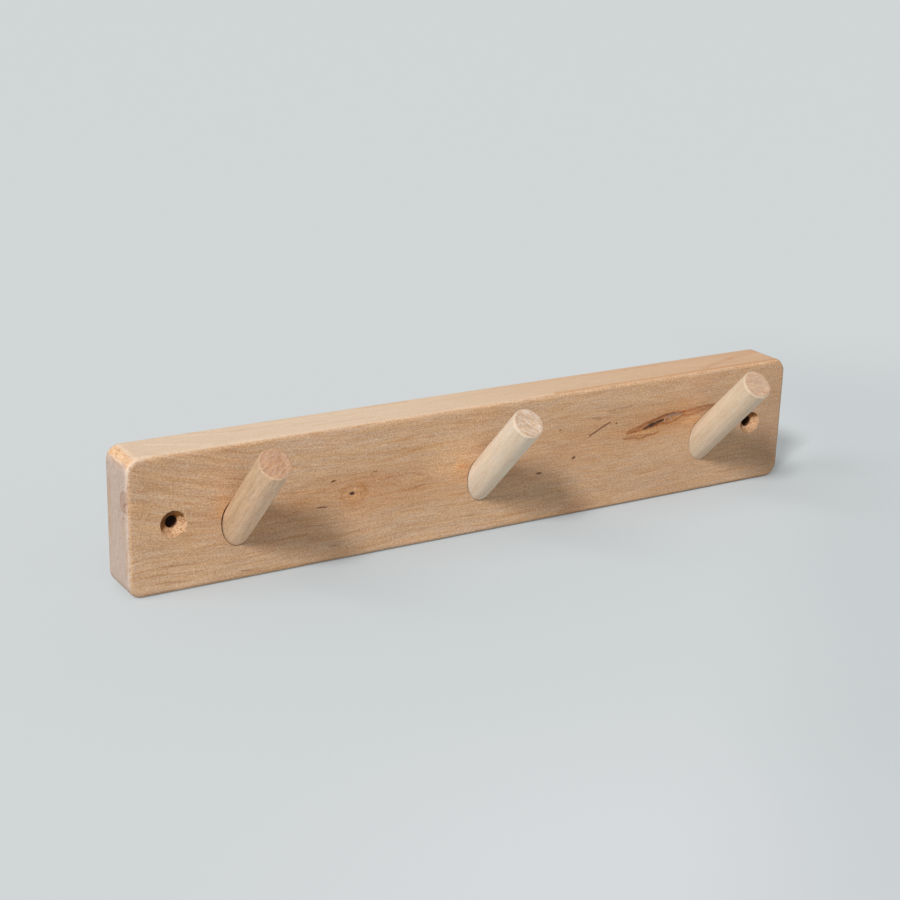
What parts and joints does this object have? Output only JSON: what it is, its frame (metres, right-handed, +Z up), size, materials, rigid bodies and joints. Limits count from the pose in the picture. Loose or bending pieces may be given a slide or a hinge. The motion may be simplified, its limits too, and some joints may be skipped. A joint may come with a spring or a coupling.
{
  "type": "coat rack",
  "caption": "Wall coat rack: a wooden plank with rounded corners and eased edges, countersunk screw holes near its ends, and round dowel pegs that slant up at 45 degrees.",
  "frame": {"origin": "centre of the board's back face, which lies on the wall", "axes": "+X along the board to the right seen from the front, +Y into the wall (the pegs stand out towards -Y), +Z up"},
  "size_m": [0.385, 0.0728, 0.0768],
  "materials": {
    "board_wood": "sanded, unfinished",
    "peg_wood": "sanded, unfinished"
  },
  "bodies": {
    "root": {"board": "board_wood", "peg_left": "peg_wood", "peg_middle": "peg_wood", "peg_right": "peg_wood"}
  },
  "joints": []
}
